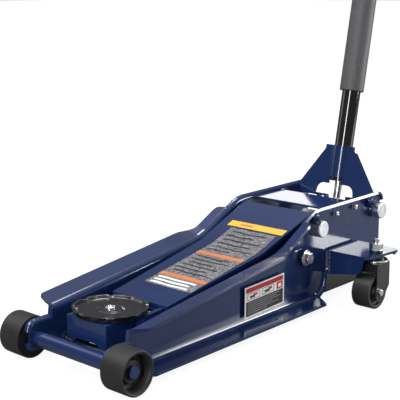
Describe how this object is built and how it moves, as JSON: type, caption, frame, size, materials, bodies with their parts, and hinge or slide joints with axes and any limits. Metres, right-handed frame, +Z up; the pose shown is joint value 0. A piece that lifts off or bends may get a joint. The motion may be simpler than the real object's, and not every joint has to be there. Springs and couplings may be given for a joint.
{
  "type": "trolley jack",
  "caption": "Low-profile hydraulic trolley jack: flanged chassis on wheels, saddle on a lifting arm, closed pump unit and a long pump handle.",
  "frame": {"origin": "on the floor under the middle of the whole jack, handle included", "axes": "+X to the jack's right side, +Y to the rear where the handle stands, +Z up"},
  "size_m": [0.3866, 1.0144, 1.23],
  "materials": {
    "navy_paint": "glossy navy blue enamel over pressed steel",
    "black_casting": "glossy black paint over a casting",
    "grey_nylon": "moulded dark grey nylon",
    "bright_zinc": "bright zinc plate",
    "machined_steel": "ground and oiled steel",
    "black_tube": "glossy black enamel on tube",
    "grey_foam": "closed-cell dark grey foam",
    "black_tank": "satin black paint",
    "black_rubber": "moulded black rubber"
  },
  "bodies": {
    "chassis": {"side_plate_left": "navy_paint", "caster_bracket_left": "navy_paint", "caster_nut_left": "bright_zinc", "tie_rod_bolt_left": "bright_zinc", "yoke_pivot_bolt_left": "bright_zinc", "arm_shaft_lock_left": "navy_paint", "yoke_shaft_lock_left": "navy_paint", "return_spring_left": "bright_zinc", "spring_anchor_left": "bright_zinc", "side_plate_right": "navy_paint", "caster_bracket_right": "navy_paint", "caster_nut_right": "bright_zinc", "tie_rod_bolt_right": "bright_zinc", "yoke_pivot_bolt_right": "bright_zinc", "arm_shaft_lock_right": "navy_paint", "yoke_shaft_lock_right": "navy_paint", "return_spring_right": "bright_zinc", "spring_anchor_right": "bright_zinc", "front_axle": "navy_paint", "top_cover": "navy_paint", "arm_pivot_shaft": "bright_zinc", "oil_tank": "black_tank", "pump_block": "black_tank", "ram_cylinder": "black_tank", "filler_plug": "bright_zinc", "rear_brace": "navy_paint", "belly_brace": "navy_paint"},
    "front_wheel_left": {"front_wheel_left": "grey_nylon"},
    "caster_fork_left": {"caster_fork_left": "black_casting", "caster_bolt_left": "bright_zinc"},
    "caster_wheel_left": {"caster_wheel_left": "grey_nylon"},
    "tie_rod_left": {"tie_rod_left": "navy_paint"},
    "pump_piston_left": {"pump_piston_left": "machined_steel"},
    "front_wheel_right": {"front_wheel_right": "grey_nylon"},
    "caster_fork_right": {"caster_fork_right": "black_casting", "caster_bolt_right": "bright_zinc"},
    "caster_wheel_right": {"caster_wheel_right": "grey_nylon"},
    "tie_rod_right": {"tie_rod_right": "navy_paint"},
    "pump_piston_right": {"pump_piston_right": "machined_steel"},
    "lift_arm": {"lift_arm": "navy_paint", "ram_pin": "machined_steel", "arm_front_pin": "machined_steel"},
    "saddle_block": {"saddle_block": "navy_paint", "block_cross_bolt": "bright_zinc"},
    "saddle": {"saddle": "black_casting"},
    "ram": {"ram_crosshead": "machined_steel", "ram": "machined_steel"},
    "yoke": {"handle_yoke": "navy_paint", "pump_roller_left": "machined_steel", "pump_roller_right": "machined_steel"},
    "handle": {"handle_lower_tube": "black_tube", "handle_upper_tube": "black_tube", "foam_sleeve": "grey_foam", "hand_grip": "black_rubber", "handle_cap": "black_rubber"},
    "release_valve": {"release_valve": "machined_steel"}
  },
  "joints": [
    {"name": "front_wheel_spin_left", "type": "hinge", "parent": "chassis", "child": "front_wheel_left", "pos_m": [-0.117, -0.47237, 0.035], "axis": [1, 0, 0], "continuous": true},
    {"name": "caster_swivel_left", "type": "hinge", "parent": "chassis", "child": "caster_fork_left", "pos_m": [-0.166, 0.13963, 0.085], "axis": [0, 0, 1], "continuous": true},
    {"name": "caster_spin_left", "type": "hinge", "parent": "caster_fork_left", "child": "caster_wheel_left", "pos_m": [-0.166, 0.11863, 0.032], "axis": [1, 0, 0], "continuous": true},
    {"name": "tie_rod_lift_left", "type": "hinge", "parent": "chassis", "child": "tie_rod_left", "pos_m": [-0.08, 0.01763, 0.101], "axis": [-1, 0, 0], "range_deg": [0, 60]},
    {"name": "pump_stroke_left", "type": "slide", "parent": "chassis", "child": "pump_piston_left", "axis": [0, -1, 0], "range_m": [-0.0055, 0.0285]},
    {"name": "front_wheel_spin_right", "type": "hinge", "parent": "chassis", "child": "front_wheel_right", "pos_m": [0.117, -0.47237, 0.035], "axis": [1, 0, 0], "continuous": true},
    {"name": "caster_swivel_right", "type": "hinge", "parent": "chassis", "child": "caster_fork_right", "pos_m": [0.166, 0.13963, 0.085], "axis": [0, 0, 1], "continuous": true},
    {"name": "caster_spin_right", "type": "hinge", "parent": "caster_fork_right", "child": "caster_wheel_right", "pos_m": [0.166, 0.11863, 0.032], "axis": [1, 0, 0], "continuous": true},
    {"name": "tie_rod_lift_right", "type": "hinge", "parent": "chassis", "child": "tie_rod_right", "pos_m": [0.08, 0.01763, 0.101], "axis": [-1, 0, 0], "range_deg": [0, 60]},
    {"name": "pump_stroke_right", "type": "slide", "parent": "chassis", "child": "pump_piston_right", "axis": [0, -1, 0], "range_m": [-0.0055, 0.0285]},
    {"name": "arm_lift", "type": "hinge", "parent": "chassis", "child": "lift_arm", "pos_m": [0, 0.06263, 0.147], "axis": [-1, 0, 0], "range_deg": [0, 60]},
    {"name": "saddle_level", "type": "hinge", "parent": "lift_arm", "child": "saddle_block", "pos_m": [0, -0.37237, 0.068], "axis": [1, 0, 0], "range_deg": [0, 60]},
    {"name": "saddle_turn", "type": "hinge", "parent": "saddle_block", "child": "saddle", "pos_m": [0, -0.39137, 0.079], "axis": [0, 0, 1], "continuous": true},
    {"name": "ram_extend", "type": "slide", "parent": "chassis", "child": "ram", "axis": [0, -1, 0], "range_m": [0, 0.0755], "deforming": ["return_spring_left", "return_spring_right"]},
    {"name": "handle_pump", "type": "hinge", "parent": "chassis", "child": "yoke", "pos_m": [0, 0.25763, 0.15], "axis": [-1, 0, 0], "range_deg": [-10, 55]},
    {"name": "handle_twist", "type": "hinge", "parent": "yoke", "child": "handle", "pos_m": [0, 0.25763, 0.15], "axis": [0, 0.2079, 0.9781], "range_deg": [0, 180]},
    {"name": "release_turn", "type": "hinge", "parent": "chassis", "child": "release_valve", "pos_m": [0, 0.25763, 0.15], "axis": [0, 0.866, 0.5], "range_deg": [0, 180]}
  ],
  "couplings": [
    {"joint": "tie_rod_lift_left", "follows": "arm_lift", "ratio": 1},
    {"joint": "pump_stroke_left", "follows": "handle_pump", "m_per_rad": 0.02875},
    {"joint": "tie_rod_lift_right", "follows": "arm_lift", "ratio": 1},
    {"joint": "pump_stroke_right", "follows": "handle_pump", "m_per_rad": 0.02875},
    {"joint": "saddle_level", "follows": "arm_lift", "ratio": 1},
    {"joint": "ram_extend", "follows": "arm_lift", "m_per_rad": 0.07162},
    {"joint": "release_turn", "follows": "handle_twist", "ratio": 1}
  ]
}
